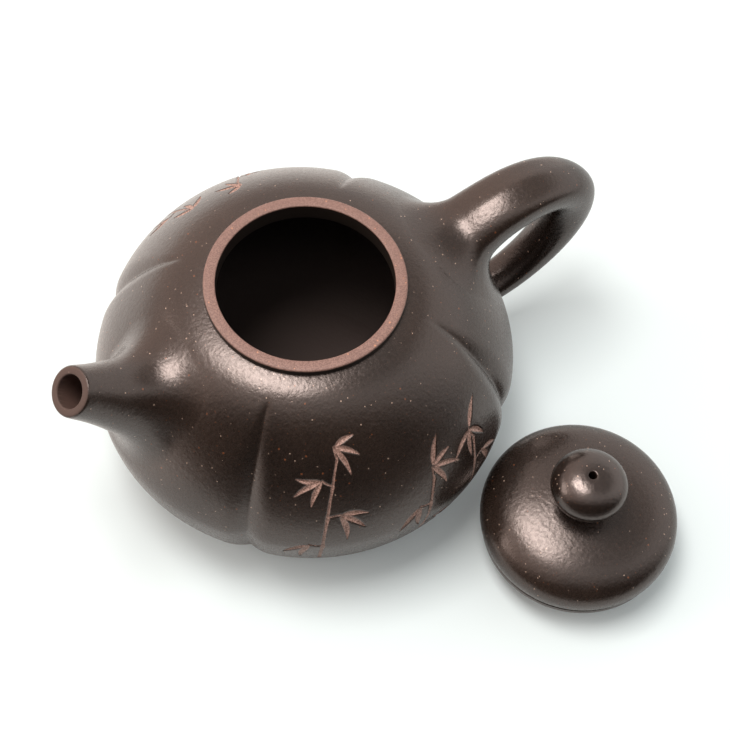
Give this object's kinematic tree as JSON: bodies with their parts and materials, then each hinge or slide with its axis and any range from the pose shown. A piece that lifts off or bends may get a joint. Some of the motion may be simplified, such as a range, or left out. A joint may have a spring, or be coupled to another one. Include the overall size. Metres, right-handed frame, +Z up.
{
  "type": "clay teapot",
  "caption": "Squat round clay teapot with softly creased sides, a short straight spout, an ear-shaped side handle and a knobbed cushion lid set down beside it.",
  "frame": {"origin": "centre of the foot ring, on the table under the pot", "axes": "+Z up, -X towards the spout, +X towards the handle, -Y towards the side where the lid lies"},
  "size_m": [0.1291, 0.1255, 0.0597],
  "materials": {
    "clay": "unglazed dark brown stoneware clay, rubbed to a soft sheen, with fine ochre specks",
    "ground_rim": "the same clay ground flat, lighter coppery brown with bright specks"
  },
  "bodies": {
    "pot": {"body_shell": "clay", "base_disc": "clay", "foot_ring": "clay", "mouth_collar": "ground_rim", "spout": "clay", "strainer": "clay", "handle": "clay"},
    "lid": {"lid_cover": "clay", "lid_seat_ring": "clay", "lid_flange": "clay", "knob": "clay"}
  },
  "joints": [
    {"name": "lid_lift", "type": "slide", "parent": "pot", "child": "lid", "axis": [0, 0, 1], "range_m": [0, 0.09]}
  ]
}
